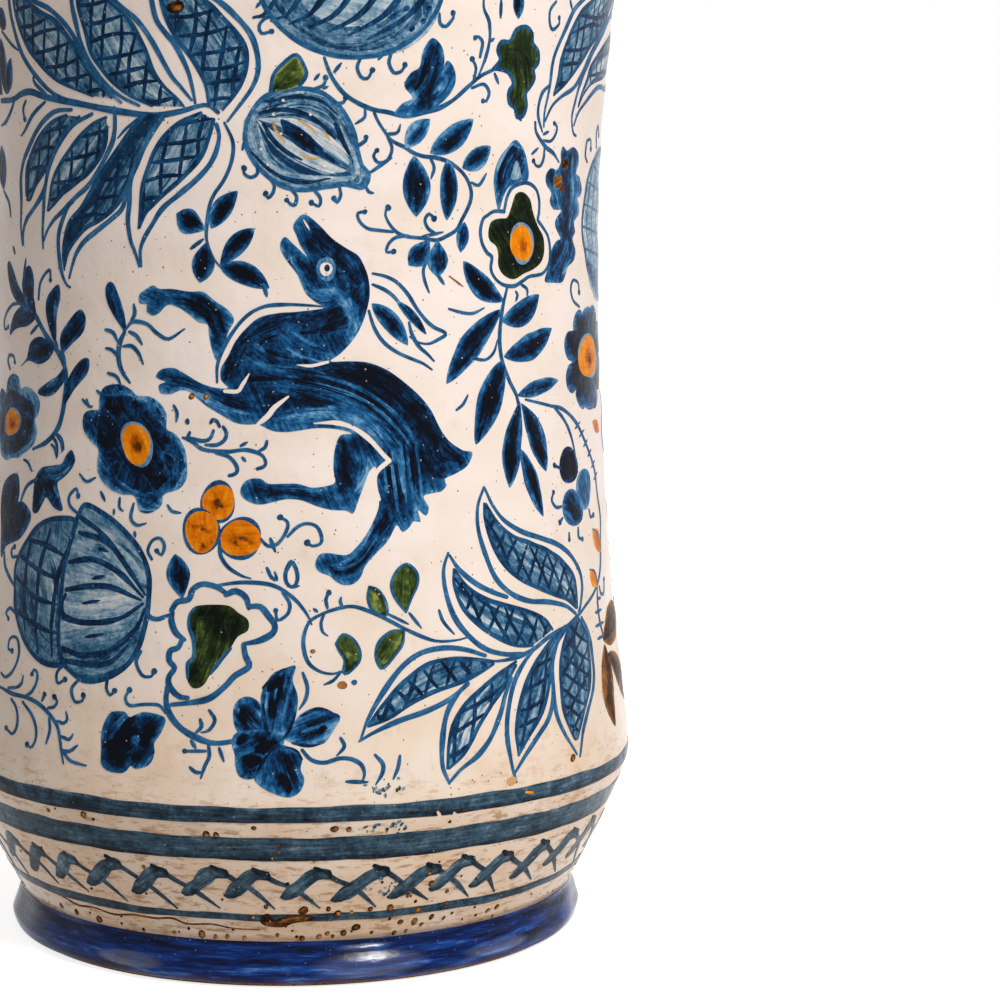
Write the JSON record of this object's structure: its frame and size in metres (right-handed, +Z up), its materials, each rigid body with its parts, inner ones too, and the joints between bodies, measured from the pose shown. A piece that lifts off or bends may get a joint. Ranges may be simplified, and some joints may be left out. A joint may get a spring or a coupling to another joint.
{
  "type": "albarello",
  "caption": "Waisted tin-glazed earthenware drug jar with a flared foot, angular shoulders, a short neck and a rolled rim; holds dry drugs or stands as a vase.",
  "frame": {"origin": "centre of the resting face under the foot", "axes": "+Z up the jar's axis, towards the mouth; -Y faces the pictured side"},
  "size_m": [0.1588, 0.1588, 0.294],
  "materials": {
    "foot_clay": "bare fired clay",
    "clay": "bare fired clay",
    "cobalt_glaze": "gloss",
    "white_glaze": "gloss",
    "lining_glaze": "gloss"
  },
  "bodies": {
    "root": {"foot_ring": "foot_clay", "base_bowl": "clay", "drum_wall": "clay", "shoulder_ring": "clay", "neck_collar": "clay", "foot_glaze": "cobalt_glaze", "white_glaze": "white_glaze", "rim_glaze": "cobalt_glaze", "lining_glaze": "lining_glaze"}
  },
  "joints": []
}
